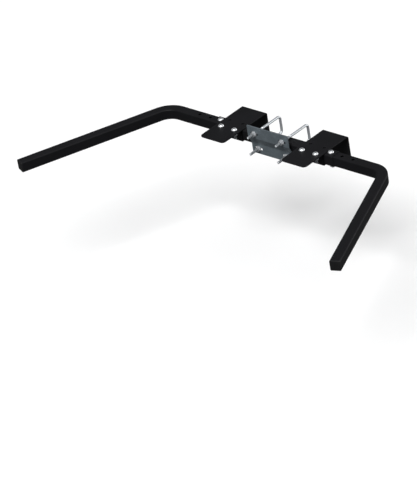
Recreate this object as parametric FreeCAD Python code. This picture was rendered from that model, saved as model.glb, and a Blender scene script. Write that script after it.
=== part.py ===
"""Clamp-on stand-off bar for a ladder.

A square centre tube lies across the front of a ladder rung. Two bent arm tubes telescope in its ends and
rest against the wall. Two folded hook plates lie over the tube and the rung, and two square U-bolts with a
stepped clamp plate pull the tube against the rung.

Frame: millimetres, +X along the centre tube, +Z up, arms towards -Y, rung and hooks towards +Y.
The origin is the middle of the centre tube.
"""
import FreeCAD, Part
import math
import os

V = FreeCAD.Vector

# Arm tubes: square tube that runs inside the centre tube, then bends forward and outward.
ARM_SIZE = 32.0
ARM_WALL = 2.0
ARM_CORNER = 3.2
ARM_BEND_RADIUS = 60.0
ARM_SPLAY = 22.5
ARM_REACH = 496.0
ARM_SHOULDER = 200.5
ARM_TAIL = 38.5

# Centre tube: the sleeve that the arms slide in.
SLEEVE_WALL = 2.0
SLIDE_GAP = 0.3
SLEEVE_LENGTH = 456.0
LOCK_EDGE = 17.5

# Lock bolts and the row of arm holes that they pick from.
LOCK_PITCH = 41.0
LOCK_STEPS = 2
LOCK_TAIL = 4.0

# Plastic caps in the arm ends.
CAP_HEAD = 3.0
CAP_PLUG = 16.0
CAP_WALL = 2.0
CAP_GAP = 0.1
CAP_EDGE = 1.2
CAP_PLUG_CORNER = 2.6

# Button-head bolts and hexagon nuts, 10 mm thread.
BOLT_DIAMETER = 10.0
BOLT_HEAD_DIAMETER = 17.5
BOLT_HEAD_HEIGHT = 5.5
BOLT_SOCKET = 6.0
BOLT_SOCKET_DEPTH = 3.0
BOLT_CROWN = 8.0
BOLT_RIM = 1.1
BOLT_BULGE = 0.55
BOLT_NUT_WIDTH = 16.0
BOLT_NUT_HEIGHT = 8.4
BOLT_POINT = 1.0
HOLE_GAP = 0.5
THREAD_GAP = 0.05

# Folded hook plates.
HOOK_THICKNESS = 3.0
HOOK_FOLD = 3.0
HOOK_WIDTH = 92.0
HOOK_GAP = 0.3
HOOK_SPACE = 70.0
HOOK_FRONT = 73.0
HOOK_DROP = 78.0
HOOK_NOSE_RADIUS = 12.0
HOOK_TIP_RADIUS = 7.0
HOOK_TRAVEL = 28.0
HEAD_ROOM = 1.0
PLATE_BOLT_SPACING = 51.0
PLATE_BOLT_LENGTH = 30.0
SPARE_ROW = 40.0

# Straps that wrap under the centre tube and hang from the hook plates' bolts.
STRAP_THICKNESS = 3.0
STRAP_FOLD = 2.0
STRAP_WIDTH = 78.0
STRAP_FOOT = 11.0
STRAP_GAP = 2.0
STRAP_LIP = 14.0
NUT_ROOM = 2.2

# Stepped clamp plate in front of the centre tube: the lower half lies on the tube, the upper half stands off.
CLAMP_THICKNESS = 3.0
CLAMP_FOLD = 2.0
CLAMP_UPPER = 38.0
CLAMP_LOWER = 34.5
CLAMP_STEP = 10.5
CLAMP_SLOPE = 23.0
CLAMP_BEND = 13.0
CLAMP_ROOM = 2.75
SLOT_EDGE = 25.0
SLOT_LENGTH = 28.0
SLOT_GAP = 0.5

# Square U-bolts with flange nuts, 8 mm thread.
U_DIAMETER = 8.0
U_CORNER = 10.0
U_SPACE = 62.0
U_ROOM = 4.7
U_THREAD_END = 20.5
U_POINT = 1.0
U_NUT_WIDTH = 13.0
U_NUT_HEIGHT = 8.0
U_FLANGE_DIAMETER = 17.9
U_FLANGE_HEIGHT = 1.8
U_SEAT_GAP = 0.05

# Sizes and places that follow from the values above.
TURN = 90.0 - ARM_SPLAY
SLEEVE_BORE = ARM_SIZE + 2 * SLIDE_GAP
SLEEVE_SIZE = SLEEVE_BORE + 2 * SLEEVE_WALL
SLEEVE_HALF = SLEEVE_SIZE / 2
SLEEVE_CORNER = ARM_CORNER + SLIDE_GAP + SLEEVE_WALL
LOCK_X = SLEEVE_LENGTH / 2 - LOCK_EDGE
BOLT_HOLE = BOLT_DIAMETER + 2 * HOLE_GAP
HOOK_X = LOCK_X - BOLT_HEAD_DIAMETER / 2 - HEAD_ROOM - HOOK_WIDTH / 2
HOOK_UNDER = SLEEVE_HALF + HOOK_GAP
HOOK_TOP = HOOK_UNDER + HOOK_THICKNESS
HEX_CORNER = 1 / math.cos(math.radians(30))
STRAP_OUTSIDE = SLEEVE_HALF + HOOK_GAP + STRAP_THICKNESS
PLATE_BOLT_Y = -(STRAP_OUTSIDE + HEX_CORNER * BOLT_NUT_WIDTH / 2 + NUT_ROOM)
STRAP_TOP = HOOK_UNDER - STRAP_GAP
CLAMP_LENGTH = 2 * (HOOK_X - HOOK_WIDTH / 2 - HOOK_TRAVEL - CLAMP_ROOM)
U_X = CLAMP_LENGTH / 2 - SLOT_EDGE
U_Z = SLEEVE_HALF + U_ROOM + U_DIAMETER / 2


def rounded_square(size, corner):
    """Wire of a square with round corners, in the YZ plane round the origin."""
    half = size / 2
    core = half - corner
    diagonal = core + corner * math.cos(math.radians(45))
    edges = []
    for quarter in range(4):
        spin = FreeCAD.Rotation(V(1, 0, 0), 90 * quarter)
        side_start = spin.multVec(V(0, half, -core))
        side_end = spin.multVec(V(0, half, core))
        arc_middle = spin.multVec(V(0, diagonal, diagonal))
        arc_end = spin.multVec(V(0, core, half))
        edges.append(Part.makeLine(side_start, side_end))
        edges.append(Part.Arc(side_end, arc_middle, arc_end).toShape())
    return Part.Wire(edges)


def tube_section(size, wall, corner):
    """Face of a square tube's wall, in the YZ plane."""
    outer = Part.Face(rounded_square(size, corner))
    inner = Part.Face(rounded_square(size - 2 * wall, corner - wall))
    return outer.cut(inner).Faces[0]


def bent_bar(section, runs, turns, radius):
    """Bar bent flat in the XY plane from a YZ section: straight runs along the bar, with a turn after each
    but the last, in degrees and positive towards +Y."""
    pieces = []
    place = FreeCAD.Placement()
    for index, run in enumerate(runs):
        straight = section.extrude(V(run, 0, 0))
        straight.Placement = place
        pieces.append(straight)
        place = place.multiply(FreeCAD.Placement(V(run, 0, 0), FreeCAD.Rotation()))
        if index < len(turns):
            turn = turns[index]
            side = math.copysign(1.0, turn)
            centre = V(0, side * radius, 0)
            bend = section.revolve(centre, V(0, 0, side), abs(turn))
            bend.Placement = place
            pieces.append(bend)
            place = place.multiply(FreeCAD.Placement(V(0, 0, 0), FreeCAD.Rotation(V(0, 0, 1), turn), centre))
    return pieces[0].multiFuse(pieces[1:]).removeSplitter()


def fold_side(path, offset, radius):
    """Edges of one face of a folded sheet, and its two ends, at a distance from the sheet's middle line."""
    directions = [(b - a).normalize() for a, b in zip(path, path[1:])]
    normals = [V(0, -d.z, d.y) for d in directions]
    start = path[0] + normals[0] * offset
    here = start
    edges = []
    for index in range(1, len(path) - 1):
        before, after = directions[index - 1], directions[index]
        turn = math.acos(before.dot(after))
        side = math.copysign(1.0, before.cross(after).x)
        back = radius * math.tan(turn / 2)
        centre = path[index] - before * back + normals[index - 1] * side * radius
        arc_start = path[index] - before * back + normals[index - 1] * offset
        arc_end = path[index] + after * back + normals[index] * offset
        outward = (path[index] - centre).normalize()
        arc_middle = centre + outward * (radius - side * offset)
        edges.append(Part.makeLine(here, arc_start))
        edges.append(Part.Arc(arc_start, arc_middle, arc_end).toShape())
        here = arc_end
    end = path[-1] + normals[-1] * offset
    edges.append(Part.makeLine(here, end))
    return edges, start, end


def folded_sheet(points, thickness, inside_radius, width):
    """Sheet folded along a middle line of (y, z) points and centred on X = 0."""
    path = [V(0, y, z) for y, z in points]
    radius = inside_radius + thickness / 2
    left, left_start, left_end = fold_side(path, thickness / 2, radius)
    right, right_start, right_end = fold_side(path, -thickness / 2, radius)
    ends = [Part.makeLine(left_start, right_start), Part.makeLine(left_end, right_end)]
    outline = Part.Wire(Part.__sortEdges__(left + right + ends))
    sheet = Part.Face(outline).extrude(V(width, 0, 0))
    sheet.translate(V(-width / 2, 0, 0))
    return sheet


def round_corners(shape, axis, radius, wanted):
    """Fillets the short straight edges that run along an axis and pass the wanted test."""
    picked = []
    for edge in shape.Edges:
        run = edge.Vertexes[-1].Point - edge.Vertexes[0].Point
        if run.Length > 1e-6 and abs(abs(run.normalize().dot(axis)) - 1) < 1e-6 and wanted(edge.CenterOfMass):
            picked.append(edge)
    return shape.makeFillet(radius, picked)


def hexagon(width, height):
    """Hexagonal prism across its flats, upright on the XY plane, with two flats facing Y."""
    reach = HEX_CORNER * width / 2
    points = []
    for corner in range(7):
        angle = math.radians(60 * corner)
        points.append(V(reach * math.cos(angle), reach * math.sin(angle), 0))
    return Part.Face(Part.makePolygon(points)).extrude(V(0, 0, height))


def chamfered_nut(width, height, bore):
    """Hexagon nut standing on the XY plane, its corners turned down at both ends."""
    reach = HEX_CORNER * width / 2
    rise = (reach - width / 2) * math.tan(math.radians(30))
    lower = Part.makeCone(width / 2, reach, rise)
    middle = Part.makeCylinder(reach, height - 2 * rise, V(0, 0, rise))
    upper = Part.makeCone(reach, width / 2, rise, V(0, 0, height - rise))
    turned = lower.fuse(middle).fuse(upper).removeSplitter()
    body = hexagon(width, height).common(turned)
    return body.cut(Part.makeCylinder(bore / 2, height))


def button_head():
    """Domed bolt head on the XY plane with a hexagonal socket."""
    rim = BOLT_HEAD_DIAMETER / 2
    crown = BOLT_CROWN / 2
    middle = V((rim + crown) / 2 + BOLT_BULGE, 0, (BOLT_HEAD_HEIGHT + BOLT_RIM) / 2 + BOLT_BULGE)
    dome_edge = Part.Arc(V(rim, 0, BOLT_RIM), middle, V(crown, 0, BOLT_HEAD_HEIGHT)).toShape()
    lines = Part.makePolygon([V(crown, 0, BOLT_HEAD_HEIGHT), V(0, 0, BOLT_HEAD_HEIGHT), V(0, 0, 0),
                              V(rim, 0, 0), V(rim, 0, BOLT_RIM)])
    outline = Part.Wire([dome_edge] + lines.Edges)
    dome = Part.Face(outline).revolve(V(0, 0, 0), V(0, 0, 1), 360)
    socket = hexagon(BOLT_SOCKET, BOLT_SOCKET_DEPTH)
    socket.translate(V(0, 0, BOLT_HEAD_HEIGHT - BOLT_SOCKET_DEPTH))
    return dome.cut(socket)


def shank(diameter, length, point):
    """Round bar hanging down from the XY plane, chamfered at its lower end."""
    straight = Part.makeCylinder(diameter / 2, length - point, V(0, 0, point - length))
    end = Part.makeCone(diameter / 2 - point, diameter / 2, point, V(0, 0, -length))
    return straight.fuse(end).removeSplitter()


def button_bolt(length):
    """Whole bolt with its head's underside on the XY plane."""
    return button_head().fuse(shank(BOLT_DIAMETER, length, BOLT_POINT)).removeSplitter()


def moved(shape, x, y, z):
    """Copy of a shape, moved."""
    copy = shape.copy()
    copy.translate(V(x, y, z))
    return copy


def other_side(shape):
    """Mirror image of a right-hand piece on the left-hand side."""
    return shape.mirror(V(0, 0, 0), V(1, 0, 0))


def centre_tube():
    """Square sleeve, open at both ends, with a hole for each lock bolt through both walls."""
    tube = tube_section(SLEEVE_SIZE, SLEEVE_WALL, SLEEVE_CORNER).extrude(V(SLEEVE_LENGTH, 0, 0))
    tube.translate(V(-SLEEVE_LENGTH / 2, 0, 0))
    for side in (-1, 1):
        drill = Part.makeCylinder(BOLT_HOLE / 2, 2 * SLEEVE_SIZE, V(side * LOCK_X, 0, -SLEEVE_SIZE))
        tube = tube.cut(drill)
    return tube


def arm_tube():
    """Right-hand arm tube with its row of lock holes."""
    tangent = ARM_BEND_RADIUS * math.tan(math.radians(TURN / 2))
    inner_end = LOCK_X - LOCK_STEPS * LOCK_PITCH - ARM_TAIL
    inner_run = LOCK_X + ARM_SHOULDER - tangent - inner_end
    outer_run = ARM_REACH - tangent - CAP_HEAD
    section = tube_section(ARM_SIZE, ARM_WALL, ARM_CORNER)
    arm = moved(bent_bar(section, [inner_run, outer_run], [-TURN], ARM_BEND_RADIUS), inner_end, 0, 0)
    for step in range(-LOCK_STEPS, LOCK_STEPS + 1):
        x = LOCK_X + step * LOCK_PITCH
        arm = arm.cut(Part.makeCylinder(BOLT_HOLE / 2, 2 * ARM_SIZE, V(x, 0, -ARM_SIZE)))
    return arm


def arm_cap():
    """Right-hand arm's plastic cap: a square head on a hollow plug."""
    head = Part.Face(rounded_square(ARM_SIZE, ARM_CORNER)).extrude(V(CAP_HEAD, 0, 0))
    rim = [edge for edge in head.Edges if edge.BoundBox.XMin > CAP_HEAD - 1e-6]
    head = head.makeFillet(CAP_EDGE, rim)
    plug_size = ARM_SIZE - 2 * ARM_WALL - 2 * CAP_GAP
    plug = tube_section(plug_size, CAP_WALL, CAP_PLUG_CORNER).extrude(V(-CAP_PLUG, 0, 0))
    cap = head.fuse(plug).removeSplitter()
    cap.translate(V(ARM_REACH - CAP_HEAD, 0, 0))
    cap.rotate(V(0, 0, 0), V(0, 0, 1), -TURN)
    return moved(cap, LOCK_X + ARM_SHOULDER, 0, 0)


def lock_bolt():
    """Right-hand lock bolt as two ends: the stretch between the sleeve's walls is left out."""
    upper = moved(button_head().fuse(shank(BOLT_DIAMETER, SLEEVE_WALL, BOLT_POINT / 2)), 0, 0, SLEEVE_HALF)
    length = SLEEVE_WALL + BOLT_NUT_HEIGHT + LOCK_TAIL
    lower = moved(shank(BOLT_DIAMETER, length, BOLT_POINT), 0, 0, SLEEVE_WALL - SLEEVE_HALF)
    return moved(Part.makeCompound([upper.removeSplitter(), lower]), LOCK_X, 0, 0)


def lock_nut():
    """Right-hand lock bolt's nut, against the sleeve's underside."""
    nut = chamfered_nut(BOLT_NUT_WIDTH, BOLT_NUT_HEIGHT, BOLT_DIAMETER + 2 * THREAD_GAP)
    return moved(nut, LOCK_X, 0, -SLEEVE_HALF - BOLT_NUT_HEIGHT)


def hook_plate():
    """Right-hand hook plate: flat over the tube and the rung, folded down behind the rung."""
    middle = HOOK_UNDER + HOOK_THICKNESS / 2
    back = SLEEVE_HALF + HOOK_SPACE + HOOK_THICKNESS / 2
    nose = PLATE_BOLT_Y - HOOK_FRONT
    path = [(nose, middle), (back, middle), (back, HOOK_TOP - HOOK_DROP)]
    plate = folded_sheet(path, HOOK_THICKNESS, HOOK_FOLD, HOOK_WIDTH)
    plate = round_corners(plate, V(0, 0, 1), HOOK_NOSE_RADIUS, lambda centre: centre.y < nose + 1e-3)
    tip = HOOK_TOP - HOOK_DROP
    plate = round_corners(plate, V(0, 1, 0), HOOK_TIP_RADIUS, lambda centre: centre.z < tip + 1e-3)
    for row in (PLATE_BOLT_Y, PLATE_BOLT_Y + SPARE_ROW):
        for side in (-1, 1):
            place = V(side * PLATE_BOLT_SPACING / 2, row, HOOK_UNDER - HOOK_THICKNESS)
            plate = plate.cut(Part.makeCylinder(BOLT_HOLE / 2, 3 * HOOK_THICKNESS, place))
    return moved(plate, HOOK_X, 0, 0)


def tube_strap():
    """Right-hand strap: a foot under the bolts, down the tube's front, under it and up behind it."""
    half = STRAP_THICKNESS / 2
    wall = STRAP_OUTSIDE - half
    foot = STRAP_TOP - half
    path = [(PLATE_BOLT_Y - STRAP_FOOT, foot), (-wall, foot), (-wall, -wall), (wall, -wall),
            (wall, STRAP_LIP - STRAP_OUTSIDE)]
    strap = folded_sheet(path, STRAP_THICKNESS, STRAP_FOLD, STRAP_WIDTH)
    for side in (-1, 1):
        place = V(side * PLATE_BOLT_SPACING / 2, PLATE_BOLT_Y, foot - STRAP_THICKNESS)
        strap = strap.cut(Part.makeCylinder(BOLT_HOLE / 2, 2 * STRAP_THICKNESS, place))
    return moved(strap, HOOK_X, 0, 0)


def plate_bolts():
    """Right-hand hook plate's two bolts."""
    bolt = button_bolt(PLATE_BOLT_LENGTH)
    places = [HOOK_X + side * PLATE_BOLT_SPACING / 2 for side in (-1, 1)]
    return Part.makeCompound([moved(bolt, x, PLATE_BOLT_Y, HOOK_TOP) for x in places])


def plate_nuts():
    """Right-hand hook plate's two nuts, under the strap's foot."""
    nut = chamfered_nut(BOLT_NUT_WIDTH, BOLT_NUT_HEIGHT, BOLT_DIAMETER + 2 * THREAD_GAP)
    places = [HOOK_X + side * PLATE_BOLT_SPACING / 2 for side in (-1, 1)]
    height = STRAP_TOP - STRAP_THICKNESS - BOLT_NUT_HEIGHT
    return Part.makeCompound([moved(nut, x, PLATE_BOLT_Y, height) for x in places])


def clamp_front_y():
    """Y of the clamp plate's front face, on the lower half that lies on the tube."""
    return -SLEEVE_HALF - U_SEAT_GAP - CLAMP_THICKNESS


def clamp_path():
    """Middle line of the clamp plate's section: upper half, slope and lower half."""
    lower_y = clamp_front_y() + CLAMP_THICKNESS / 2
    upper_y = lower_y - CLAMP_STEP
    slope_end = CLAMP_BEND - CLAMP_SLOPE
    return [(upper_y, CLAMP_BEND + CLAMP_UPPER), (upper_y, CLAMP_BEND), (lower_y, slope_end),
            (lower_y, slope_end - CLAMP_LOWER)]


def clamp_plate():
    """Folded plate with a slot for each U-bolt leg."""
    plate = folded_sheet(clamp_path(), CLAMP_THICKNESS, CLAMP_FOLD, CLAMP_LENGTH)
    width = U_DIAMETER + 2 * SLOT_GAP
    depth = 2 * SLEEVE_SIZE
    for side in (-1, 1):
        for level in (-U_Z, U_Z):
            middle = Part.makeBox(SLOT_LENGTH - width, depth, width)
            middle.translate(V(side * U_X - (SLOT_LENGTH - width) / 2, -depth, level - width / 2))
            plate = plate.cut(middle)
            for end in (-1, 1):
                x = side * U_X + end * (SLOT_LENGTH - width) / 2
                plate = plate.cut(Part.makeCylinder(width / 2, depth, V(x, -depth, level), V(0, 1, 0)))
    return plate


def upper_seat_y():
    """Y of the plane that the upper U-bolt nut sits on."""
    return clamp_front_y() - CLAMP_STEP - U_SEAT_GAP


def lower_seat_y():
    """Y of the plane that the lower U-bolt nut sits on."""
    return clamp_front_y() - U_SEAT_GAP


def u_bolt():
    """Right-hand U-bolt: two legs over and under the tube, joined behind the rung."""
    radius = U_CORNER
    back = SLEEVE_HALF + U_SPACE + U_DIAMETER / 2
    tip = upper_seat_y() - U_NUT_HEIGHT - U_THREAD_END
    leg = back - radius - tip - U_POINT
    section = Part.Face(Part.Wire(Part.makeCircle(U_DIAMETER / 2, V(0, 0, 0), V(1, 0, 0))))
    bar = bent_bar(section, [leg, 2 * U_Z - 2 * radius, leg], [90, 90], radius)
    for level in (0, 2 * U_Z):
        tip_centre = V(-U_POINT, level, 0)
        point = Part.makeCone(U_DIAMETER / 2 - U_POINT, U_DIAMETER / 2, U_POINT, tip_centre, V(1, 0, 0))
        bar = bar.fuse(point)
    bar = bar.removeSplitter()
    bar.rotate(V(0, 0, 0), V(0, 0, 1), 90)
    bar.rotate(V(0, 0, 0), V(0, 1, 0), 90)
    return moved(bar, U_X, tip + U_POINT, -U_Z)


def u_nuts():
    """Right-hand U-bolt's two flange nuts."""
    bore = U_DIAMETER + 2 * THREAD_GAP
    hexagonal = chamfered_nut(U_NUT_WIDTH, U_NUT_HEIGHT, bore)
    flange = Part.makeCone(U_FLANGE_DIAMETER / 2, U_NUT_WIDTH / 2, U_FLANGE_HEIGHT)
    flange = flange.cut(Part.makeCylinder(bore / 2, U_FLANGE_HEIGHT))
    nut = hexagonal.fuse(flange).removeSplitter()
    nut.rotate(V(0, 0, 0), V(1, 0, 0), 90)
    upper = moved(nut, U_X, upper_seat_y(), U_Z)
    lower = moved(nut, U_X, lower_seat_y(), -U_Z)
    return Part.makeCompound([upper, lower])


def main():
    """Builds every piece and writes one file for each."""
    os.makedirs("parts", exist_ok=True)
    single = {"centre_tube": centre_tube(), "clamp_plate": clamp_plate()}
    paired = {
        "arm_tube": arm_tube(),
        "arm_cap": arm_cap(),
        "lock_bolt": lock_bolt(),
        "lock_nut": lock_nut(),
        "hook_plate": hook_plate(),
        "tube_strap": tube_strap(),
        "plate_bolts": plate_bolts(),
        "plate_nuts": plate_nuts(),
        "u_bolt": u_bolt(),
        "u_bolt_nuts": u_nuts(),
    }
    for name, shape in single.items():
        shape.exportStep("parts/" + name + ".step")
    for name, shape in paired.items():
        shape.exportStep("parts/" + name + "_right.step")
        other_side(shape).exportStep("parts/" + name + "_left.step")


main()
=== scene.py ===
import math

import bmesh
import bpy
from mathutils import Matrix, Vector


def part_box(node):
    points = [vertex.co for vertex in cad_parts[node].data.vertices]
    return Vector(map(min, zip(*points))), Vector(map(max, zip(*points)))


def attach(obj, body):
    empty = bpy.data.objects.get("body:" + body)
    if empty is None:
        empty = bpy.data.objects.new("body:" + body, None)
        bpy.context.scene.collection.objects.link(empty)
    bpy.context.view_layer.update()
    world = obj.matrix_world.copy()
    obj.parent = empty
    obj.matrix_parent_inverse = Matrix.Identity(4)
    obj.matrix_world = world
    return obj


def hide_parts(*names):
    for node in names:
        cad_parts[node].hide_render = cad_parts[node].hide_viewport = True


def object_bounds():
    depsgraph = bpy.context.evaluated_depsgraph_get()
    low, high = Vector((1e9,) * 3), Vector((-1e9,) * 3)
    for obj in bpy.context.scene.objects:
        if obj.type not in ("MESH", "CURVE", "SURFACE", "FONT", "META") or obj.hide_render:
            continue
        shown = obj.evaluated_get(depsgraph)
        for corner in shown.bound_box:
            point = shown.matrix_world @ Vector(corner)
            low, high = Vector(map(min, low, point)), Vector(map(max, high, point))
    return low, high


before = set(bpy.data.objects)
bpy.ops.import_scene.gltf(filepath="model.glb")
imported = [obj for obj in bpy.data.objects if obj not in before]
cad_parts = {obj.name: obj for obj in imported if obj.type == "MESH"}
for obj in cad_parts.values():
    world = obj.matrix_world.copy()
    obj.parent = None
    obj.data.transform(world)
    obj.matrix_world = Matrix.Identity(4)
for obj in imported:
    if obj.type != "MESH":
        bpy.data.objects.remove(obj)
CAD_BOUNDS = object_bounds()
MM = 0.001

# Stock and hardware sizes, in millimetres.
TUBE_WALL = 2.0
ARM_CORNER = 3.2
SLEEVE_CORNER = 5.5
ARM_BEND_RADIUS = 60.0
ARM_TURN = 67.5
LOCK_HOLE = 11.0
LOCK_PITCH = 41.0
SHEET = 3.0
HOOK_FOLD = 4.5
HOOK_NOSE = 12.0
HOOK_TIP = 7.0
STRAP_FOLD = 3.5
STRAP_GAP = 0.3
STRAP_LIP = 14.0
STRAP_CORNER = 3.0
CLAMP_FOLD = 3.5
CLAMP_UPPER = 38.0
CLAMP_LOWER = 34.5
CLAMP_CORNER = 2.5
SLOT_LENGTH = 28.0
SLOT_WIDTH = 9.0
SPARE_ROW = 40.0
SHEARED_EDGE = 0.45
SAWN_EDGE = 0.35
U_BAR = 8.0
U_CORNER = 10.0
U_THREAD = 64.0
U_PITCH = 1.25
U_POINT = 0.8
U_RUNOUT = 1.0
BOLT_BAR = 10.0
BOLT_PITCH = 1.5
BOLT_HEAD = 17.5
BOLT_HEAD_HEIGHT = 5.5
BOLT_RIM = 1.1
BOLT_CROWN = 4.0
BOLT_BULGE = 0.5
BOLT_NECK = 2.2
BOLT_RUNOUT = 3.0
BOLT_POINT = 0.9
BOLT_PLAY = 0.05
BOLT_SOCKET = 6.0
BOLT_SOCKET_DEPTH = 4.2
BOLT_NUT = 16.0
FLANGE_NUT = 13.0
FLANGE_NUT_HEIGHT = 8.0
FLANGE_WIDTH = 17.9
NUT_CLEARANCE = 0.1
NUT_SINK = 0.9
NUT_SINK_DEPTH = 0.7
FASTENER_EDGE = 0.12
CAP_HEAD = 3.0
CAP_EDGE = 1.2
CAP_CROWN = 0.8
CAP_WALL = 1.6
CAP_PLUG_CORNER = 1.2
CAP_RIBS = (3.0, 7.0, 11.0)
CAP_RIB_RISE = 0.3
CAP_RIB_FULL = 1.1
CAP_RIB_END = 1.9
CAP_RIB_GAP = 0.2
CAP_STEM_GAP = 1.8
CAP_PLUG_LENGTH = 15.9
CAP_PLUG_TIP_GAP = 2.6
THREAD_DEPTH = 0.61
THREAD_FOOT = 0.15
THREAD_FILL = 0.86
THREAD_CREST = 0.2
NEAR = 0.01
HEX = 1 / math.cos(math.radians(30))

# Studio sizes, in millimetres, degrees and metres.
FLOOR_DROP = 350.0
CAMERA_AIM = Vector((0.2231, -0.5576, 0.0))
CAMERA_DISTANCE = 11.707
CAMERA_AZIMUTH = 45.98
CAMERA_ELEVATION = 30.337
CAMERA_ROLL = -9.742
CAMERA_LENS = 303.3


# ---- Modelling moves ----

def rest():
    """Leaves edit mode and selects nothing."""
    if bpy.context.mode != "OBJECT":
        bpy.ops.object.mode_set(mode="OBJECT")
    bpy.ops.object.select_all(action="DESELECT")


def chosen(piece):
    """Makes one piece the only selected and the active one."""
    rest()
    piece.select_set(True)
    bpy.context.view_layer.objects.active = piece
    return piece


def fixed(name):
    """Names the primitive just added and puts its place into its mesh."""
    piece = bpy.context.active_object
    piece.name = name
    piece.data.name = name
    bpy.ops.object.transform_apply(location=True, rotation=True, scale=True)
    return piece


def edit(piece):
    """Opens a piece for editing."""
    chosen(piece)
    bpy.ops.object.mode_set(mode="EDIT")


def pick(kind, test):
    """In edit mode, selects the points, edges or faces that pass a test."""
    bpy.ops.mesh.select_mode(type=kind)
    bpy.ops.mesh.select_all(action="DESELECT")
    mesh = bmesh.from_edit_mesh(bpy.context.edit_object.data)
    for part in {"VERT": mesh.verts, "EDGE": mesh.edges, "FACE": mesh.faces}[kind]:
        if test(part):
            part.select_set(True)
    mesh.select_flush_mode()
    bmesh.update_edit_mesh(bpy.context.edit_object.data)


def extrude(x, y, z):
    """Extrudes what is selected by so many millimetres."""
    bpy.ops.mesh.extrude_region_move(TRANSFORM_OT_translate={"value": (x * MM, y * MM, z * MM)})


def outward():
    """Merges doubles and turns every face of the piece in edit mode outwards."""
    bpy.ops.mesh.select_all(action="SELECT")
    bpy.ops.mesh.remove_doubles(threshold=0.001 * MM)
    bpy.ops.mesh.normals_make_consistent(inside=False)


def apply_modifier(piece, kind, **settings):
    """Adds a modifier with its settings and applies it."""
    chosen(piece)
    modifier = piece.modifiers.new(kind.title(), kind)
    for key, value in settings.items():
        setattr(modifier, key, value)
    bpy.ops.object.modifier_apply(modifier=modifier.name)


def combine(piece, tool, operation):
    """Cuts a piece with a tool piece, joins it to it, or keeps only what both fill. The tool is used up."""
    apply_modifier(piece, "BOOLEAN", operation=operation, object=tool, solver="EXACT")
    bpy.data.objects.remove(tool)
    edit(piece)
    bpy.ops.mesh.select_all(action="SELECT")
    bpy.ops.mesh.remove_doubles(threshold=0.002 * MM)
    bpy.ops.mesh.dissolve_degenerate(threshold=0.002 * MM)
    rest()


def broken_edges(piece, width, least_angle=40):
    """Rounds sharp edges a little, as deburring and coating do, smooths the rest, keeps flats flat."""
    apply_modifier(piece, "BEVEL", width=width * MM, segments=2, limit_method="ANGLE",
                   angle_limit=math.radians(least_angle), use_clamp_overlap=True, harden_normals=False)
    smooth(piece)
    apply_modifier(piece, "WEIGHTED_NORMAL", mode="FACE_AREA", weight=100, keep_sharp=True)


def smooth(piece):
    """Smooth shading, with real corners kept sharp."""
    chosen(piece)
    bpy.ops.object.shade_smooth_by_angle(angle=math.radians(32))


def placed(piece, move=(0, 0, 0), turn=(0, 0, 0)):
    """Turns a piece about the origin and moves it, in degrees and millimetres."""
    chosen(piece)
    piece.rotation_euler = [math.radians(angle) for angle in turn]
    piece.location = Vector(move) * MM
    bpy.ops.object.transform_apply(location=True, rotation=True, scale=True)
    return piece


def copied(piece, name, move=(0, 0, 0), turn=(0, 0, 0)):
    """Copy of a piece with its own mesh, moved to its place."""
    chosen(piece)
    bpy.ops.object.duplicate(linked=False)
    copy = bpy.context.active_object
    copy.name = name
    copy.data.name = name
    return placed(copy, move, turn)


def drill(x, y, z, width, depth, turn=(0, 0, 0), sides=48):
    """Round tool for a hole, centred on a point."""
    rest()
    angles = [math.radians(angle) for angle in turn]
    bpy.ops.mesh.primitive_cylinder_add(vertices=sides, radius=width / 2 * MM, depth=depth * MM,
                                        location=(x * MM, y * MM, z * MM), rotation=angles)
    return fixed("drill")


def turned(name, rings, sides=48):
    """Turned piece on Z: a filled circle, extruded and resized from (radius, height) ring to ring."""
    rest()
    radius, height = rings[0]
    bpy.ops.mesh.primitive_circle_add(vertices=sides, radius=radius * MM, fill_type="NGON",
                                      location=(0, 0, height * MM))
    piece = fixed(name)
    edit(piece)
    bpy.ops.mesh.select_mode(type="FACE")
    bpy.ops.mesh.select_all(action="SELECT")
    for next_radius, next_height in rings[1:]:
        extrude(0, 0, next_height - height)
        share = next_radius / radius
        bpy.ops.transform.resize(value=(share, share, 1), center_override=(0, 0, next_height * MM))
        radius, height = next_radius, next_height
    outward()
    rest()
    return piece


def thread_ridge(crest, root, pitch, start, end, sides=24):
    """Right-hand thread on Z: one tooth's outline, swept up a helix and closed at both ends."""
    rest()
    foot = root - THREAD_FOOT
    bpy.ops.mesh.primitive_plane_add(size=1, location=((crest + foot) / 2 * MM, 0, (start + pitch / 2) * MM),
                                     rotation=(math.radians(90), 0, 0))
    bpy.context.active_object.scale = ((crest - foot) * MM, THREAD_FILL * pitch * MM, 1)
    piece = fixed("thread")
    edit(piece)
    pick("EDGE", lambda edge: all(point.co.x > (crest - NEAR) * MM for point in edge.verts))
    bpy.ops.transform.resize(value=(1, 1, THREAD_CREST),
                             center_override=(crest * MM, 0, (start + pitch / 2) * MM))
    bpy.ops.mesh.select_all(action="SELECT")
    bpy.ops.mesh.delete(type="ONLY_FACE")
    rest()
    apply_modifier(piece, "SCREW", angle=math.radians(360), screw_offset=pitch * MM,
                   iterations=int((end - start - pitch) / pitch), steps=sides, render_steps=sides,
                   axis="Z", use_smooth_shade=False, use_merge_vertices=False)
    edit(piece)
    bpy.ops.mesh.select_all(action="SELECT")
    bpy.ops.mesh.fill_holes(sides=4)
    outward()
    rest()
    return piece


def joined(pieces, name):
    """Several shapes made one piece."""
    rest()
    for piece in pieces:
        piece.select_set(True)
    bpy.context.view_layer.objects.active = pieces[0]
    bpy.ops.object.join()
    piece = bpy.context.active_object
    piece.name = name
    piece.data.name = name
    return piece


def finished(piece, finish, slot, body, *nodes):
    """Dresses a piece, ties it to the body, and hides the CAD nodes that it stands for."""
    piece.data.materials.clear()
    piece.data.materials.append(finish)
    for face in piece.data.polygons:
        face.material_index = 0
    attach(piece, body)
    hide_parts(*nodes)


# ---- Finishes ----

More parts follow.
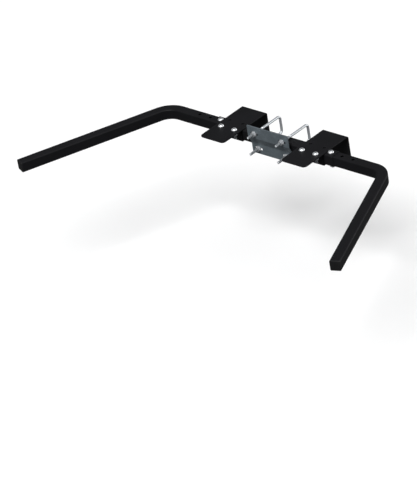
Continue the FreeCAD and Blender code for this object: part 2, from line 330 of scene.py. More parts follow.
def colour(code):
    """Turns an sRGB hex code into Blender's linear colour."""
    channels = []
    for index in (0, 2, 4):
        value = int(code.lstrip("#")[index:index + 2], 16) / 255
        channels.append(value / 12.92 if value <= 0.04045 else ((value + 0.055) / 1.055) ** 2.4)
    return (*channels, 1.0)


def per_mm(size):
    """Pattern scale for a feature of so many millimetres."""
    return 1 / (size * MM)


def blank(name):
    """New material with only its output and its surface shader."""
    material = bpy.data.materials.new(name)
    material.use_nodes = True
    return material, material.node_tree.nodes["Principled BSDF"]


def node(material, kind, inputs, **settings):
    """Adds a node with its settings, and gives each input a value or the socket that feeds it."""
    made = material.node_tree.nodes.new(kind)
    for key, value in settings.items():
        setattr(made, key, value)
    for key, value in inputs.items():
        if isinstance(value, bpy.types.NodeSocket):
            material.node_tree.links.new(value, made.inputs[key])
        else:
            made.inputs[key].default_value = value
    return made


def feed(material, shader, name, socket):
    """Links a socket to one of the surface shader's inputs."""
    material.node_tree.links.new(socket, shader.inputs[name])


def black_powder_coat():
    """Black polyester powder coat on steel. It is sprayed as dust and baked, so it has a satin gloss,
    a faint orange-peel ripple under a fine grain, and its edges are painted paler in patches: a painted
    highlight, partly the coat's thinning and rubbing there."""
    material, shader = blank("black_powder_coat")
    place = node(material, "ShaderNodeTexCoord", {}).outputs["Object"]
    cloud = node(material, "ShaderNodeTexNoise", {"Vector": place, "Scale": per_mm(70), "Detail": 4.0})
    peel = node(material, "ShaderNodeTexNoise", {"Vector": place, "Scale": per_mm(3.2), "Detail": 2.0})
    grain = node(material, "ShaderNodeTexNoise", {"Vector": place, "Scale": per_mm(0.7), "Detail": 3.0})
    tone = node(material, "ShaderNodeMix",
                {0: cloud.outputs["Fac"], 6: colour("#111112"), 7: colour("#1b1b1e")},
                data_type="RGBA")
    specks = node(material, "ShaderNodeMapRange",
                  {"Value": grain.outputs["Fac"], "From Min": 0.62, "From Max": 0.75,
                   "To Min": 0.0, "To Max": 0.5})
    dusty = node(material, "ShaderNodeMix",
                 {0: specks.outputs["Result"], 6: tone.outputs[2], 7: colour("#28282b")}, data_type="RGBA")
    flat = node(material, "ShaderNodeNewGeometry", {}).outputs["Normal"]
    round_normal = node(material, "ShaderNodeBevel", {"Radius": 1.2 * MM}, samples=6)
    facing = node(material, "ShaderNodeVectorMath", {0: flat, 1: round_normal.outputs["Normal"]},
                  operation="DOT_PRODUCT")
    # Paler edges, in patches set by the ripple noise: painted edge highlight, partly the coat thinning and
    # rubbing there.
    edge = node(material, "ShaderNodeMapRange",
                {"Value": facing.outputs["Value"], "From Min": 0.995, "From Max": 0.86,
                 "To Min": 0.0, "To Max": 1.0})
    patchy = node(material, "ShaderNodeMapRange",
                  {"Value": peel.outputs["Fac"], "From Min": 0.35, "From Max": 0.7,
                   "To Min": 0.25, "To Max": 1.0})
    edge_wear_and_highlight = node(material, "ShaderNodeMath", {0: edge.outputs["Result"], 1: patchy.outputs["Result"]},
                  operation="MULTIPLY")
    coat_with_painted_edge_highlight = node(material, "ShaderNodeMix",
                {0: edge_wear_and_highlight.outputs["Value"], 6: dusty.outputs[2], 7: colour("#3c3d3f")}, data_type="RGBA")
    gloss = node(material, "ShaderNodeMapRange",
                 {"Value": peel.outputs["Fac"], "From Min": 0.3, "From Max": 0.7,
                  "To Min": 0.4, "To Max": 0.52})
    ripple = node(material, "ShaderNodeBump",
                  {"Height": peel.outputs["Fac"], "Strength": 0.22, "Distance": 0.12 * MM})
    skin = node(material, "ShaderNodeBump",
                {"Height": grain.outputs["Fac"], "Strength": 0.3, "Distance": 0.05 * MM,
                 "Normal": ripple.outputs["Normal"]})
    shader.inputs["Specular IOR Level"].default_value = 0.16
    feed(material, shader, "Base Color", coat_with_painted_edge_highlight.outputs[2])
    feed(material, shader, "Roughness", gloss.outputs["Result"])
    feed(material, shader, "Normal", skin.outputs["Normal"])
    return material


def moulded_black_plastic():
    """Black polyethylene, injection moulded in a spark-eroded mould, which leaves a fine even texture
    and a dull waxy gloss."""
    material, shader = blank("moulded_black_plastic")
    place = node(material, "ShaderNodeTexCoord", {}).outputs["Object"]
    spark = node(material, "ShaderNodeTexVoronoi", {"Vector": place, "Scale": per_mm(0.6)})
    flow = node(material, "ShaderNodeTexNoise", {"Vector": place, "Scale": per_mm(9), "Detail": 3.0})
    tone = node(material, "ShaderNodeMix",
                {0: flow.outputs["Fac"], 6: colour("#101011"), 7: colour("#1c1c1d")},
                data_type="RGBA")
    gloss = node(material, "ShaderNodeMapRange",
                 {"Value": flow.outputs["Fac"], "From Min": 0.3, "From Max": 0.7,
                  "To Min": 0.5, "To Max": 0.62})
    texture = node(material, "ShaderNodeBump",
                   {"Height": spark.outputs["Distance"], "Strength": 0.35, "Distance": 0.08 * MM})
    shader.inputs["IOR"].default_value = 1.51
    shader.inputs["Specular IOR Level"].default_value = 0.35
    feed(material, shader, "Base Color", tone.outputs[2])
    feed(material, shader, "Roughness", gloss.outputs["Result"])
    feed(material, shader, "Normal", texture.outputs["Normal"])
    return material


def galvanised_sheet():
    """Galvanised steel sheet, dipped in zinc and rolled. The zinc froze in flat crystals, so each patch
    has a slightly different grey-blue tone and gloss, the rolls left fine streaks that run along the
    sheet, and a film of oxide has dulled it, so it mirrors little."""
    material, shader = blank("galvanised_sheet")
    place = node(material, "ShaderNodeTexCoord", {}).outputs["Object"]
    crystal = node(material, "ShaderNodeTexVoronoi",
                   {"Vector": place, "Scale": per_mm(5), "Randomness": 1.0})
    wander = node(material, "ShaderNodeTexNoise", {"Vector": place, "Scale": per_mm(30), "Detail": 3.0})
    along = node(material, "ShaderNodeMapping", {"Vector": place, "Scale": (0.04, 1.0, 1.0)})
    streaks = node(material, "ShaderNodeTexNoise",
                   {"Vector": along.outputs["Vector"], "Scale": per_mm(1.6), "Detail": 4.0,
                    "Roughness": 0.65})
    shade = node(material, "ShaderNodeSeparateColor", {"Color": crystal.outputs["Color"]})
    patch = node(material, "ShaderNodeMix",
                 {0: shade.outputs["Red"], 6: colour("#687278"), 7: colour("#757f86")}, data_type="RGBA")
    streaky = node(material, "ShaderNodeMapRange",
                   {"Value": streaks.outputs["Fac"], "From Min": 0.35, "From Max": 0.68,
                    "To Min": 0.0, "To Max": 0.6})
    lined = node(material, "ShaderNodeMix",
                 {0: streaky.outputs["Result"], 6: patch.outputs[2], 7: colour("#89939a")}, data_type="RGBA")
    dull = node(material, "ShaderNodeMapRange",
                {"Value": wander.outputs["Fac"], "From Min": 0.42, "From Max": 0.7,
                 "To Min": 0.0, "To Max": 0.4})
    tone = node(material, "ShaderNodeMix",
                {0: dull.outputs["Result"], 6: lined.outputs[2], 7: colour("#5e676c")}, data_type="RGBA")
    gloss = node(material, "ShaderNodeMapRange",
                 {"Value": shade.outputs["Green"], "From Min": 0.0, "From Max": 1.0,
                  "To Min": 0.36, "To Max": 0.46})
    rolled = node(material, "ShaderNodeBump",
                  {"Height": streaks.outputs["Fac"], "Strength": 0.2, "Distance": 0.05 * MM})
    shader.inputs["Metallic"].default_value = 0.4
    feed(material, shader, "Base Color", tone.outputs[2])
    feed(material, shader, "Roughness", gloss.outputs["Result"])
    feed(material, shader, "Normal", rolled.outputs["Normal"])
    return material


def bright_zinc(name, light, dark, line_direction):
    """Zinc-plated steel: electroplated bright and passivated, so it is a clean bluish silver with pale
    clouds and the fine marks of the die or the rolling tool. Sockets, thread roots and corners are painted
    dark from an ambient-occlusion mask: painted shade."""
    material, shader = blank(name)
    place = node(material, "ShaderNodeTexCoord", {}).outputs["Object"]
    cloud = node(material, "ShaderNodeTexNoise", {"Vector": place, "Scale": per_mm(6), "Detail": 4.0})
    along = node(material, "ShaderNodeMapping", {"Vector": place, "Scale": line_direction})
    lines = node(material, "ShaderNodeTexNoise",
                 {"Vector": along.outputs["Vector"], "Scale": per_mm(0.35), "Detail": 2.0})
    tone = node(material, "ShaderNodeMix", {0: cloud.outputs["Fac"], 6: colour(light), 7: colour(dark)},
                data_type="RGBA")
    stain = node(material, "ShaderNodeMapRange",
                 {"Value": cloud.outputs["Fac"], "From Min": 0.58, "From Max": 0.75,
                  "To Min": 0.0, "To Max": 0.35})
    passive = node(material, "ShaderNodeMix",
                   {0: stain.outputs["Result"], 6: tone.outputs[2], 7: colour("#b9b7a4")}, data_type="RGBA")
    # Painted shade: sockets, thread roots and corners darkened by an ambient-occlusion mask.
    occlusion_for_shade = node(material, "ShaderNodeAmbientOcclusion", {"Distance": 5 * MM}, samples=8)
    painted_shade_mask = node(material, "ShaderNodeMapRange",
                  {"Value": occlusion_for_shade.outputs["AO"], "From Min": 0.3, "From Max": 0.75,
                   "To Min": 0.92, "To Max": 0.0})
    zinc_with_painted_shade = node(material, "ShaderNodeMix",
                 {0: painted_shade_mask.outputs["Result"], 6: passive.outputs[2], 7: colour("#2b2e31")},
                 data_type="RGBA")
    gloss = node(material, "ShaderNodeMapRange",
                 {"Value": lines.outputs["Fac"], "From Min": 0.3, "From Max": 0.7,
                  "To Min": 0.24, "To Max": 0.38})
    marks = node(material, "ShaderNodeBump",
                 {"Height": lines.outputs["Fac"], "Strength": 0.14, "Distance": 0.03 * MM})
    shader.inputs["Metallic"].default_value = 0.7
    feed(material, shader, "Base Color", zinc_with_painted_shade.outputs[2])
    feed(material, shader, "Roughness", gloss.outputs["Result"])
    feed(material, shader, "Normal", marks.outputs["Normal"])
    return material


# ---- Tubes ----

def square_outline(name, x, size, corner):
    """Open outline of a round-cornered square across X."""
    rest()
    bpy.ops.mesh.primitive_plane_add(size=size * MM, location=(x * MM, 0, 0),
                                     rotation=(0, math.radians(90), 0))
    piece = fixed(name)
    edit(piece)
    bpy.ops.mesh.select_mode(type="VERT")
    bpy.ops.mesh.select_all(action="SELECT")
    bpy.ops.mesh.bevel(offset=corner * MM, offset_type="OFFSET", segments=6, affect="VERTICES")
    bpy.ops.mesh.select_all(action="SELECT")
    bpy.ops.mesh.delete(type="ONLY_FACE")
    bpy.ops.mesh.select_mode(type="EDGE")
    bpy.ops.mesh.select_all(action="SELECT")
    return piece


def walled(piece, wall):
    """Gives a tube's skin its wall, inwards."""
    outward()
    rest()
    apply_modifier(piece, "SOLIDIFY", thickness=wall * MM, offset=-1, use_even_offset=True, use_rim=True)


def sleeve_tube():
    """Centre tube: a straight square tube, drilled through at both ends for the lock bolts."""
    low, high = (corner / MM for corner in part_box("centre_tube"))
    piece = square_outline("sleeve_tube", low.x, high.z - low.z, SLEEVE_CORNER)
    extrude(high.x - low.x, 0, 0)
    walled(piece, TUBE_WALL)
    for side in ("left", "right"):
        middle = node_middle("lock_nut_" + side)
        combine(piece, drill(middle.x, 0, 0, LOCK_HOLE, 3 * high.z), "DIFFERENCE")
    broken_edges(piece, SAWN_EDGE)
    return piece


def node_middle(name):
    """Middle of a CAD node's box, in millimetres."""
    low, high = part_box(name)
    return (low + high) / 2 / MM


def bent_arm(side):
    """Arm tube: a straight run with five lock holes, a bend spun round its centre, and the outer run."""
    sign = 1 if side == "right" else -1
    low, high = (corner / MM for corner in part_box("arm_tube_" + side))
    inner = low.x if sign > 0 else high.x
    lock_x = node_middle("lock_nut_" + side).x
    size = high.z - low.z
    turn = math.radians(ARM_TURN)
    tip_reach = abs(high.x if sign > 0 else low.x) - size / 2 * math.sin(turn)
    tip_drop = -low.y - size / 2 * math.cos(turn)
    outer_run = (tip_drop - ARM_BEND_RADIUS * (1 - math.cos(turn))) / math.sin(turn)
    bend_end = tip_reach - outer_run * math.cos(turn)
    bend_start = bend_end - ARM_BEND_RADIUS * math.sin(turn)
    piece = square_outline("bent_arm_" + side, inner, size, ARM_CORNER)
    extrude(sign * bend_start - inner, 0, 0)
    bpy.ops.mesh.spin(steps=28, angle=sign * turn, center=(sign * bend_start * MM, -ARM_BEND_RADIUS * MM, 0),
                      axis=(0, 0, 1))
    extrude(sign * outer_run * math.cos(turn), -outer_run * math.sin(turn), 0)
    walled(piece, TUBE_WALL)
    for step in range(-2, 3):
        combine(piece, drill(lock_x + step * LOCK_PITCH, 0, 0, LOCK_HOLE, 2 * size), "DIFFERENCE")
    broken_edges(piece, SAWN_EDGE)
    return piece


def end_cap(side):
    """Arm's end cap: a crowned square head with round edges, on a ribbed hollow plug."""
    sign = 1 if side == "right" else -1
    low, high = (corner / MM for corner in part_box("arm_tube_" + side))
    size = high.z - low.z
    turn = math.radians(ARM_TURN)
    tip = Vector((sign * (abs(high.x if sign > 0 else low.x) - size / 2 * math.sin(turn)),
                  low.y + size / 2 * math.cos(turn), 0))
    head = square_outline("cap_head", 0, size, ARM_CORNER)
    bpy.ops.mesh.edge_face_add()
    extrude(CAP_HEAD - CAP_CROWN, 0, 0)
    pick("EDGE", lambda edge: all(point.co.x > 1 * MM for point in edge.verts))
    bpy.ops.mesh.bevel(offset=CAP_EDGE * MM, offset_type="OFFSET", segments=4, affect="EDGES")
    pick("FACE", lambda face: face.normal.x > 0.99 and face.calc_center_median().x > 1 * MM)
    for margin, rise in ((2.5, 0.35), (3.5, 0.25), (4.0, 0.15), (3.0, 0.05)):
        bpy.ops.mesh.inset(thickness=margin * MM, depth=0)
        bpy.ops.transform.translate(value=(rise * MM, 0, 0))
    outward()
    rest()
    bore = size - 2 * TUBE_WALL
    here, width = 0.5, bore - CAP_STEM_GAP
    plug = square_outline("cap_plug", here, width, CAP_PLUG_CORNER)
    steps = [(-0.2, CAP_STEM_GAP)]
    for rib in CAP_RIBS:
        steps += [(-rib, CAP_STEM_GAP), (-rib - CAP_RIB_RISE, CAP_RIB_GAP),
                  (-rib - CAP_RIB_FULL, CAP_RIB_GAP), (-rib - CAP_RIB_END, CAP_STEM_GAP)]
    steps.append((-CAP_PLUG_LENGTH, CAP_PLUG_TIP_GAP))
    for depth, gap in steps:
        extrude(depth - here, 0, 0)
        share = (bore - gap) / width
        bpy.ops.transform.resize(value=(1, share, share), center_override=(depth * MM, 0, 0))
        here, width = depth, bore - gap
    walled(plug, CAP_WALL)
    piece = joined([head, plug], "end_cap_" + side)
    smooth(piece)
    return placed(piece, tip, (0, 0, -ARM_TURN if sign > 0 else ARM_TURN - 180))


# ---- Folded sheet pieces ----

def strip(name, x_low, x_high, start, end):
    """Flat sheet with no thickness yet, from one (y, z) line to another."""
    rest()
    run = Vector(end) - Vector(start)
    middle = (Vector(end) + Vector(start)) / 2
    bpy.ops.mesh.primitive_plane_add(size=1,
                                     location=((x_low + x_high) / 2 * MM, middle.x * MM, middle.y * MM),
                                     rotation=(math.atan2(run.y, run.x), 0, 0))
    bpy.context.active_object.scale = ((x_high - x_low) * MM, run.length * MM, 1)
    piece = fixed(name)
    edit(piece)
    return piece


def on_line(edge, line):
    """Whether an edge lies on a (y, z) line along X."""
    return all((Vector((point.co.y, point.co.z)) / MM - Vector(line)).length < NEAR for point in edge.verts)


def flap(start, end):
    """Extrudes the sheet from its edge on one (y, z) line to another line."""
    pick("EDGE", lambda edge: on_line(edge, start))
    extrude(0, end[0] - start[0], end[1] - start[1])


def fold(line, radius, turn, segments=8):
    """Bends the sheet at a (y, z) line."""
    pick("EDGE", lambda edge: on_line(edge, line))
    bpy.ops.mesh.bevel(offset=radius * math.tan(math.radians(turn) / 2) * MM, offset_type="OFFSET",
                       segments=segments, affect="EDGES")


def round_off(radius, test, segments=10):
    """Rounds the sheet's corners that pass a test."""
    pick("VERT", test)
    bpy.ops.mesh.bevel(offset=radius * MM, offset_type="OFFSET", segments=segments, affect="VERTICES")


def sheet_metal(piece):
    """Gives a folded sheet its thickness, half on each side."""
    bpy.ops.mesh.select_all(action="SELECT")
    bpy.ops.mesh.normals_make_consistent(inside=False)
    rest()
    apply_modifier(piece, "SOLIDIFY", thickness=SHEET * MM, offset=0, use_even_offset=True, use_rim=True)


def folded_hook():
    """Hook plate: a long flat with a round nose, folded down behind the rung, with four bolt holes."""
    low, high = (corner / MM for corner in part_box("hook_plate_right"))
    bolts_low, bolts_high = (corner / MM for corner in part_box("plate_bolts_right"))
    flat = high.z - SHEET / 2
    back = high.y - SHEET / 2
    piece = strip("folded_hook_right", low.x, high.x, (low.y, flat), (back, flat))
    flap((back, flat), (back, low.z))
    fold((back, flat), HOOK_FOLD, 90, segments=10)
    round_off(HOOK_NOSE, lambda point: point.co.y < (low.y + NEAR) * MM, segments=18)
    round_off(HOOK_TIP, lambda point: point.co.z < (low.z + NEAR) * MM)
    sheet_metal(piece)
    row = (bolts_low.y + bolts_high.y) / 2
    for x in (bolts_low.x + BOLT_HEAD / 2, bolts_high.x - BOLT_HEAD / 2):
        for y in (row, row + SPARE_ROW):
            combine(piece, drill(x, y, flat, LOCK_HOLE, 4 * SHEET), "DIFFERENCE")
    broken_edges(piece, SHEARED_EDGE)
    return piece


def wrap_strap():
    """Strap: a foot under the bolts, then down the tube's front, under it and up behind it."""
    low, high = (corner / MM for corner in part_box("tube_strap_right"))
    bolts_low, bolts_high = (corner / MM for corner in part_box("plate_bolts_right"))
    half = SHEET / 2
    wall = high.y - half
    foot = high.z - half
    bottom = low.z + half
    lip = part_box("centre_tube")[0].z / MM - STRAP_GAP - SHEET + STRAP_LIP
    piece = strip("wrap_strap_right", low.x, high.x, (low.y, foot), (-wall, foot))
    flap((-wall, foot), (-wall, bottom))
    flap((-wall, bottom), (wall, bottom))
    flap((wall, bottom), (wall, lip))
    for line in ((-wall, foot), (-wall, bottom), (wall, bottom)):
        fold(line, STRAP_FOLD, 90)
    round_off(STRAP_CORNER, lambda point: point.co.y < (low.y + NEAR) * MM, segments=5)
    sheet_metal(piece)
    row = (bolts_low.y + bolts_high.y) / 2
    for x in (bolts_low.x + BOLT_HEAD / 2, bolts_high.x - BOLT_HEAD / 2):
        combine(piece, drill(x, row, foot, LOCK_HOLE, 4 * SHEET), "DIFFERENCE")
    broken_edges(piece, SHEARED_EDGE)
    return piece


def front_clamp_plate():
    """Clamp plate: a lower half on the tube, a slope, an upper half clear of it, and four slots."""
    low, high = (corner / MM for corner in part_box("clamp_plate"))
    u_middle = node_middle("u_bolt_nuts_right")
    u_low, u_high = (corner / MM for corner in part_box("u_bolt_right"))
    level = (u_high.z - u_low.z) / 2 - U_BAR / 2
    front = low.y + SHEET / 2
    rear = high.y - SHEET / 2
    upper_fold = (front, high.z - CLAMP_UPPER)
    lower_fold = (rear, low.z + CLAMP_LOWER)
    turn = math.degrees(math.atan2(rear - front, upper_fold[1] - lower_fold[1]))
    piece = strip("front_clamp_plate", low.x, high.x, (front, high.z), upper_fold)
    flap(upper_fold, lower_fold)
    flap(lower_fold, (rear, low.z))
    for line in (upper_fold, lower_fold):
        fold(line, CLAMP_FOLD, turn, segments=6)
    round_off(CLAMP_CORNER, lambda point: point.co.z > (high.z - NEAR) * MM, segments=5)
    round_off(CLAMP_CORNER, lambda point: point.co.z < (low.z + NEAR) * MM, segments=5)
    sheet_metal(piece)
    shift = (SLOT_LENGTH - SLOT_WIDTH) / 2
    for side in (-1, 1):
        for height in (-level, level):
            slot = drill(side * u_middle.x, front, height, SLOT_WIDTH, 60, turn=(90, 0, 0))
            edit(slot)
            for end in (-1, 1):
                pick("VERT", lambda point: (point.co.x / MM - side * u_middle.x) * end > NEAR)
                bpy.ops.transform.translate(value=(end * shift * MM, 0, 0))
            rest()
            combine(piece, slot, "DIFFERENCE")
    broken_edges(piece, SHEARED_EDGE)
    return piece


# ---- Fasteners ----

def hex_nut(name, width, height, bar, flange=0.0):
    """Hexagon nut on Z: a turned blank cut to six flats, bored and countersunk, with a flange if any."""
    reach = HEX * width / 2
    rise = (reach - width / 2) * math.tan(math.radians(30))
    nut = turned(name, [(width / 2, 0), (reach, rise), (reach, height - rise), (width / 2, height)],
                 sides=72)
    rest()
    bpy.ops.mesh.primitive_cylinder_add(vertices=6, radius=reach * MM, depth=2 * height * MM,
                                        location=(0, 0, height / 2 * MM), rotation=(0, 0, math.radians(30)))
    combine(nut, fixed("flats"), "INTERSECT")
    if flange:
        foot = turned("flange", [(flange / 2 - 0.3, 0), (flange / 2, 0.25), (flange / 2, 0.7),
                                 (flange / 2 - 0.3, 0.95), (width / 2 + 0.1, 1.8), (width / 2 - 1, 2.0)],
                      sides=72)
        combine(nut, foot, "UNION")
    bore = bar / 2 + NUT_CLEARANCE / 2
    sink = bore + NUT_SINK
    tool = turned("bore", [(sink, -0.2), (bore, NUT_SINK_DEPTH), (bore, height - NUT_SINK_DEPTH),
                           (sink, height + 0.2)])
    combine(nut, tool, "DIFFERENCE")
    broken_edges(nut, FASTENER_EDGE, least_angle=28)
    return nut


def button_bolt(name, length, bar, pitch):
    """Button-head bolt, its head's underside at the origin, with a hexagon socket and a cut thread."""
    rim = BOLT_HEAD / 2
    root = bar / 2 - THREAD_DEPTH * pitch
    fall = BOLT_HEAD_HEIGHT - BOLT_RIM
    rings = [(BOLT_CROWN, BOLT_HEAD_HEIGHT)]
    for step in range(1, 9):
        share = step / 8
        bow = math.sin(math.pi * share) * BOLT_BULGE
        rings.append((BOLT_CROWN + (rim - BOLT_CROWN) * share + bow, BOLT_HEAD_HEIGHT - fall * share + bow))
    shank = bar / 2 - BOLT_PLAY
    rings += [(rim, 0.3), (rim - 0.3, 0), (shank, 0), (shank, -BOLT_NECK), (root, -BOLT_RUNOUT),
              (root, BOLT_POINT - length), (root - BOLT_POINT, -length)]
    bolt = turned(name, rings)
    rest()
    reach = HEX * BOLT_SOCKET / 2
    floor = BOLT_HEAD_HEIGHT - BOLT_SOCKET_DEPTH
    socket = turned("socket", [(reach, BOLT_HEAD_HEIGHT + 1), (reach, floor), (reach / 4, floor - 1)],
                    sides=6)
    combine(bolt, socket, "DIFFERENCE")
    broken_edges(bolt, FASTENER_EDGE, least_angle=35)
    ridge = thread_ridge(bar / 2 - 0.03, root, pitch, 0.5 - length, -2.4)
    smooth(ridge)
    return joined([bolt, ridge], name)


def square_u_bolt():
    """U-bolt: a round bar with chamfered ends, bent square, with a rolled thread up each leg."""
    low, high = (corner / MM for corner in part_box("u_bolt_right"))
    middle = (low.x + high.x) / 2
    level = (high.z - low.z) / 2 - U_BAR / 2
    back = high.y - U_BAR / 2
    root = U_BAR / 2 - THREAD_DEPTH * U_PITCH
    rest()
    bpy.ops.mesh.primitive_circle_add(vertices=28, radius=(root - U_POINT) * MM, fill_type="NGON",
                                      location=(middle * MM, low.y * MM, -level * MM),
                                      rotation=(math.radians(90), 0, 0))
    bar = fixed("square_u_bolt_right")
    edit(bar)
    bpy.ops.mesh.select_mode(type="FACE")
    bpy.ops.mesh.select_all(action="SELECT")
    radius = root - U_POINT
    thread_end = low.y + U_THREAD

    def stretch(run, new_radius, here):
        extrude(0, run, 0)
        share = new_radius / radius
        bpy.ops.transform.resize(value=(share, 1, share),
                                 center_override=(middle * MM, here[0] * MM, here[1] * MM))
        return new_radius

    radius = stretch(U_POINT, root, (low.y + U_POINT, -level))
    radius = stretch(U_THREAD - U_POINT, root, (thread_end, -level))
    radius = stretch(U_RUNOUT, U_BAR / 2, (thread_end + U_RUNOUT, -level))
    extrude(0, back - U_CORNER - thread_end - U_RUNOUT, 0)
    bpy.ops.mesh.spin(steps=12, angle=math.radians(90), axis=(-1, 0, 0),
                      center=(middle * MM, (back - U_CORNER) * MM, (U_CORNER - level) * MM))
    extrude(0, 0, 2 * level - 2 * U_CORNER)
    bpy.ops.mesh.spin(steps=12, angle=math.radians(90), axis=(-1, 0, 0),
                      center=(middle * MM, (back - U_CORNER) * MM, (level - U_CORNER) * MM))
    extrude(0, -(back - U_CORNER - thread_end - U_RUNOUT), 0)
    radius = stretch(-U_RUNOUT, root, (thread_end, level))
    radius = stretch(U_POINT - U_THREAD, root, (low.y + U_POINT, level))
    radius = stretch(-U_POINT, root - U_POINT, (low.y, level))
    outward()
    rest()
    smooth(bar)
    shapes = [bar]
    for height in (-level, level):
        ridge = thread_ridge(U_BAR / 2 - 0.02, root, U_PITCH, 0.3, U_THREAD)
        smooth(ridge)
        shapes.append(placed(ridge, (middle, low.y, height), (-90, 0, 0)))
    return joined(shapes, "square_u_bolt_right")


# ---- The object ----

coat = black_powder_coat()
cap_plastic = moulded_black_plastic()
clamp_zinc = galvanised_sheet()
fastener_zinc = bright_zinc("bright_zinc_fastener", "#f6f7f9", "#e3e7eb", (1.0, 1.0, 0.2))
rod_zinc = bright_zinc("bright_zinc_bar", "#eff2f5", "#d3d9df", (1.0, 0.06, 1.0))

finished(sleeve_tube(), coat, "powder_coat", "clamp", "centre_tube")
finished(front_clamp_plate(), clamp_zinc, "galvanised_plate", "clamp", "clamp_plate")
for side in ("left", "right"):
    finished(bent_arm(side), coat, "powder_coat", "arm_" + side, "arm_tube_" + side)
    finished(end_cap(side), cap_plastic, "cap_plastic", "arm_" + side, "arm_cap_" + side)

hook = folded_hook()
strap = wrap_strap()
u_bolt = square_u_bolt()
across = 2 * node_middle("hook_plate_right").x
u_across = 2 * node_middle("u_bolt_right").x
finished(copied(hook, "folded_hook_left", (-across, 0, 0)), coat, "powder_coat",
         "hook_left", "hook_plate_left")
finished(copied(strap, "wrap_strap_left", (-across, 0, 0)), coat, "powder_coat",
         "hook_left", "tube_strap_left")
finished(copied(u_bolt, "square_u_bolt_left", (-u_across, 0, 0)), rod_zinc, "zinc_rod",
         "u_bolt_left", "u_bolt_left")
finished(hook, coat, "powder_coat", "hook_right", "hook_plate_right")
finished(strap, coat, "powder_coat", "hook_right", "tube_strap_right")
finished(u_bolt, rod_zinc, "zinc_rod", "u_bolt_right", "u_bolt_right")

bolts_low, bolts_high = (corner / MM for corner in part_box("plate_bolts_right"))
nuts_low, nuts_high = (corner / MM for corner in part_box("plate_nuts_right"))
row = (bolts_low.y + bolts_high.y) / 2
inner_x, outer_x = bolts_low.x + BOLT_HEAD / 2, bolts_high.x - BOLT_HEAD / 2
bolt = button_bolt("plate_bolt", bolts_high.z - BOLT_HEAD_HEIGHT - bolts_low.z, BOLT_BAR, BOLT_PITCH)
nut = hex_nut("hexagon_nut", BOLT_NUT, nuts_high.z - nuts_low.z, BOLT_BAR)
for side, sign in (("left", -1), ("right", 1)):
    for place, x, turn in (("inner", inner_x, 17), ("outer", outer_x, -8)):
        head = copied(bolt, "plate_bolt_" + place + "_" + side,
                      (sign * x, row, bolts_high.z - BOLT_HEAD_HEIGHT), (0, 0, turn))
        finished(head, fastener_zinc, "zinc_fastener", "hook_" + side, "plate_bolts_" + side)
        below = copied(nut, "plate_nut_" + place + "_" + side, (sign * x, row, nuts_low.z))
        finished(below, fastener_zinc, "zinc_fastener", "hook_" + side, "plate_nuts_" + side)

lock_low, lock_high = (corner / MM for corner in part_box("lock_bolt_right"))
lock_x = (lock_low.x + lock_high.x) / 2
lock = button_bolt("lock_bolt", lock_high.z - BOLT_HEAD_HEIGHT - lock_low.z, BOLT_BAR, BOLT_PITCH)
for side, sign in (("left", -1), ("right", 1)):
    pin = copied(lock, "through_bolt_" + side, (sign * lock_x, 0, lock_high.z - BOLT_HEAD_HEIGHT),
                 (0, 0, 9 * sign))
    finished(pin, fastener_zinc, "zinc_fastener", "clamp", "lock_bolt_" + side)
    below = copied(nut, "through_nut_" + side, (sign * lock_x, 0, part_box("lock_nut_right")[0].z / MM))
    finished(below, fastener_zinc, "zinc_fastener", "clamp", "lock_nut_" + side)

flanged = hex_nut("flange_nut", FLANGE_NUT, FLANGE_NUT_HEIGHT, U_BAR, FLANGE_WIDTH)
seats_low, seats_high = (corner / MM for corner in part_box("u_bolt_nuts_right"))
for side, sign in (("left", -1), ("right", 1)):
    for place, up, seat_y in (("lower", -1, seats_high.y), ("upper", 1, seats_low.y + FLANGE_NUT_HEIGHT)):
        seat = (sign * u_across / 2, seat_y, up * (seats_high.z - FLANGE_WIDTH / 2))
        seated = copied(flanged, "flange_nut_" + place + "_" + side, seat, (90, 0, 0))
        finished(seated, fastener_zinc, "zinc_fastener", "clamp", "u_bolt_nuts_" + side)
for pattern in (bolt, lock, nut, flanged):
    bpy.data.objects.remove(pattern)


# ---- Floor, light and camera ----

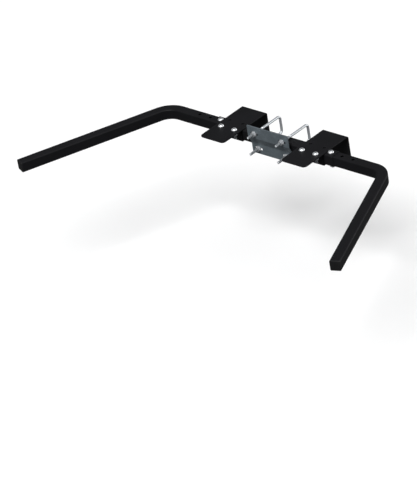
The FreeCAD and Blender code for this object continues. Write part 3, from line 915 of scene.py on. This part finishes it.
def toward(azimuth, elevation):
    """Direction from the object to a compass angle (0 is -Y, 90 is +X) and a height angle in degrees."""
    turn, climb = math.radians(azimuth), math.radians(elevation)
    return Vector((math.sin(turn) * math.cos(climb), -math.cos(turn) * math.cos(climb), math.sin(climb)))


def studio_light(name, azimuth, elevation, strength, spread):
    """Large soft light from one direction."""
    rest()
    bpy.ops.object.light_add(type="SUN",
                             rotation=toward(azimuth, elevation).to_track_quat("Z", "Y").to_euler())
    light = bpy.context.active_object
    light.name = name
    light.data.energy = strength
    light.data.angle = math.radians(spread)


rest()
floor_level = CAD_BOUNDS[0][2] - FLOOR_DROP * MM
bpy.ops.mesh.primitive_plane_add(size=80, location=(0, 0, floor_level))
floor = fixed("studio_floor")
paper, paper_shader = blank("studio_paper")
paper_shader.inputs["Base Color"].default_value = colour("#fafafa")
paper_shader.inputs["Roughness"].default_value = 0.9
paper_shader.inputs["Specular IOR Level"].default_value = 0.1
floor.data.materials.append(paper)
# The paper throws no light up into the part, so undersides and the plate's slope stay dark.
floor.visible_diffuse = False
floor.visible_glossy = False

studio_light("soft_key", 70, 68, 0.9, 60)
studio_light("soft_front", 15, 54, 2.6, 30)
studio_light("soft_side", 120, 10, 0.6, 50)
studio_light("soft_back", 155, 4, 0.9, 40)

world = bpy.data.worlds.new("studio")
bpy.context.scene.world = world
world.use_nodes = True
world.node_tree.nodes["Background"].inputs["Color"].default_value = colour("#f4f6f8")
world.node_tree.nodes["Background"].inputs["Strength"].default_value = 0.12
bpy.context.scene.view_settings.view_transform = "Standard"

back = toward(CAMERA_AZIMUTH, CAMERA_ELEVATION)
rest()
bpy.ops.object.camera_add(location=CAMERA_AIM + CAMERA_DISTANCE * back)
camera = bpy.context.active_object
facing = back.to_track_quat("Z", "Y").to_matrix() @ Matrix.Rotation(math.radians(CAMERA_ROLL), 3, "Z")
camera.rotation_euler = facing.to_euler()
camera.data.sensor_width = 36
camera.data.lens = CAMERA_LENS
camera.data.clip_end = 200
bpy.context.scene.camera = camera
